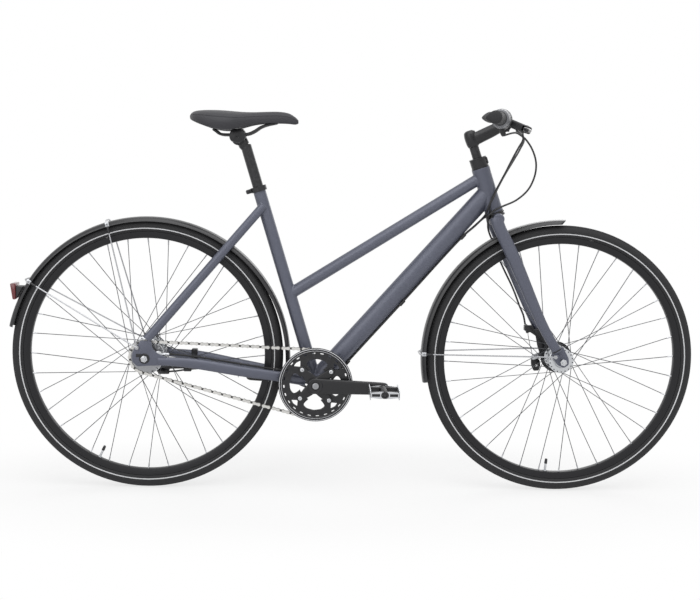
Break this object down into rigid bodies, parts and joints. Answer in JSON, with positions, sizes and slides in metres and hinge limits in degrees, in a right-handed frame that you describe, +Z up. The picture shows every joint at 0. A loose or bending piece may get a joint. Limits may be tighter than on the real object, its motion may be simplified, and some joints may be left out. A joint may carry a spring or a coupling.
{
  "type": "step-through bicycle",
  "caption": "Step-through city bicycle with sloping top tube, geared rear hub, hub brakes, swept bar, full mudguards and a rear light.",
  "frame": {"origin": "on the ground, midway between the front tyre's foremost point and the rear mudguard's rearmost point", "axes": "+X forward along the ground, +Y to the rider's left, +Z up; the drive side faces -Y"},
  "size_m": [1.7578, 0.6534, 0.9929],
  "materials": {
    "frame_paint": "slate grey satin paint",
    "black_paint": "black satin paint",
    "black_plastic": "matt black plastic",
    "cover": "fine-grained black synthetic cover",
    "grip_rubber": "matt black rubber",
    "tyre_rubber": "black rubber with a pale reflective line on the wall",
    "polished_alloy": "polished",
    "bright_steel": "plated",
    "shifter_grey": "dark grey ribbed rubber",
    "red_lens": "clear dark red"
  },
  "bodies": {
    "frame": {"head_tube": "frame_paint", "top_tube": "frame_paint", "down_tube": "frame_paint", "seat_tube": "frame_paint", "bottom_bracket_shell": "frame_paint", "chain_stays": "frame_paint", "seat_stays": "frame_paint", "seat_collar": "black_paint", "rear_axle": "bright_steel", "bottom_bracket_cartridge": "bright_steel", "rear_brake": "black_paint", "chain": "bright_steel", "rear_mudguard": "black_paint", "rear_mudguard_stays": "bright_steel", "rear_light_body": "black_plastic", "rear_light_lens": "red_lens", "rear_brake_cable": "black_plastic", "gear_cable": "black_plastic"},
    "fork": {"fork": "frame_paint", "stem_collar": "black_paint", "front_axle": "bright_steel", "front_brake": "black_paint", "front_mudguard": "black_paint", "front_mudguard_stay": "bright_steel", "front_brake_cable": "black_plastic"},
    "cockpit": {"stem_column": "black_paint", "stem_extension": "black_paint", "handlebar": "black_paint", "grip_left": "grip_rubber", "grip_right": "grip_rubber", "lever_bracket_left": "black_paint", "lever_bracket_right": "black_paint", "shifter_housing": "black_plastic"},
    "lever_left": {"brake_lever_left": "black_paint"},
    "lever_right": {"brake_lever_right": "black_paint"},
    "shifter": {"twist_shifter": "shifter_grey"},
    "seatpost": {"seatpost": "black_paint"},
    "saddle": {"saddle_clamp": "black_paint", "saddle_rails": "black_paint", "saddle_base": "black_plastic", "saddle_cover": "cover"},
    "crankset": {"crank_right": "black_paint", "crank_left": "black_paint", "bottom_bracket_axle": "bright_steel", "chainring": "black_paint"},
    "pedal_right": {"pedal_right": "polished_alloy"},
    "pedal_left": {"pedal_left": "polished_alloy"},
    "sprocket": {"sprocket": "bright_steel"},
    "rear_wheel": {"rear_tyre": "tyre_rubber", "rear_rim": "black_paint", "rear_spokes_left": "bright_steel", "rear_spokes_right": "bright_steel", "rear_hub": "polished_alloy"},
    "front_wheel": {"front_tyre": "tyre_rubber", "front_rim": "black_paint", "front_spokes_left": "bright_steel", "front_spokes_right": "bright_steel", "front_hub": "polished_alloy"},
    "front_cam": {"front_brake_cam": "bright_steel"},
    "rear_cam": {"rear_brake_cam": "bright_steel"}
  },
  "joints": [
    {"name": "steering", "type": "hinge", "parent": "frame", "child": "fork", "pos_m": [0.48323, 0, 0.346], "axis": [-0.3256, 0, 0.9455], "range_deg": [-60, 60], "deforming": ["front_brake_cable", "rear_brake_cable", "gear_cable"]},
    {"name": "stem_height", "type": "slide", "parent": "fork", "child": "cockpit", "axis": [-0.3256, 0, 0.9455], "range_m": [-0.02, 0.03]},
    {"name": "brake_lever_left", "type": "hinge", "parent": "cockpit", "child": "lever_left", "pos_m": [0.43715, 0.13287, 0.94114], "axis": [0.3715, -0.0674, 0.926], "range_deg": [0, 15], "stiffness_Nm_per_rad": 8, "springref_deg": -6.88},
    {"name": "brake_lever_right", "type": "hinge", "parent": "cockpit", "child": "lever_right", "pos_m": [0.39924, -0.1676, 0.92809], "axis": [-0.3666, 0.1061, -0.9243], "range_deg": [0, 15], "stiffness_Nm_per_rad": 8, "springref_deg": -6.88},
    {"name": "gear_twist", "type": "hinge", "parent": "cockpit", "child": "shifter", "pos_m": [0.32902, -0.21797, 0.95016], "axis": [-0.2491, -0.9684, -0.0124], "range_deg": [-70, 70]},
    {"name": "seatpost_height", "type": "slide", "parent": "frame", "child": "seatpost", "axis": [-0.2924, 0, 0.9563], "range_m": [-0.1, 0.06]},
    {"name": "saddle_tilt", "type": "hinge", "parent": "seatpost", "child": "saddle", "pos_m": [-0.30007, 0, 0.897], "axis": [0, 1, 0], "range_deg": [-12, 12]},
    {"name": "crank_turn", "type": "hinge", "parent": "frame", "child": "crankset", "pos_m": [-0.09707, 0, 0.281], "axis": [0, 1, 0], "continuous": true},
    {"name": "pedal_right_turn", "type": "hinge", "parent": "crankset", "child": "pedal_right", "pos_m": [0.07291, -0.13, 0.27803], "axis": [0, 1, 0], "continuous": true},
    {"name": "pedal_left_turn", "type": "hinge", "parent": "crankset", "child": "pedal_left", "pos_m": [-0.26704, 0.13, 0.28397], "axis": [0, 1, 0], "continuous": true},
    {"name": "sprocket_turn", "type": "hinge", "parent": "frame", "child": "sprocket", "pos_m": [-0.52707, -0.049, 0.346], "axis": [0, 1, 0], "continuous": true},
    {"name": "rear_wheel_turn", "type": "hinge", "parent": "frame", "child": "rear_wheel", "pos_m": [-0.52707, 0, 0.346], "axis": [0, 1, 0], "continuous": true},
    {"name": "front_wheel_turn", "type": "hinge", "parent": "fork", "child": "front_wheel", "pos_m": [0.53293, 0, 0.346], "axis": [0, 1, 0], "continuous": true},
    {"name": "front_brake_cam_turn", "type": "hinge", "parent": "fork", "child": "front_cam", "pos_m": [0.50293, 0.048, 0.351], "axis": [0, 1, 0], "range_deg": [0, 18]},
    {"name": "rear_brake_cam_turn", "type": "hinge", "parent": "frame", "child": "rear_cam", "pos_m": [-0.54707, 0.065, 0.316], "axis": [0, -1, 0], "range_deg": [0, 18]}
  ],
  "couplings": [
    {"joint": "sprocket_turn", "follows": "crank_turn", "ratio": 2.2},
    {"joint": "front_brake_cam_turn", "follows": "brake_lever_left", "ratio": 1.2},
    {"joint": "rear_brake_cam_turn", "follows": "brake_lever_right", "ratio": 1.2}
  ]
}
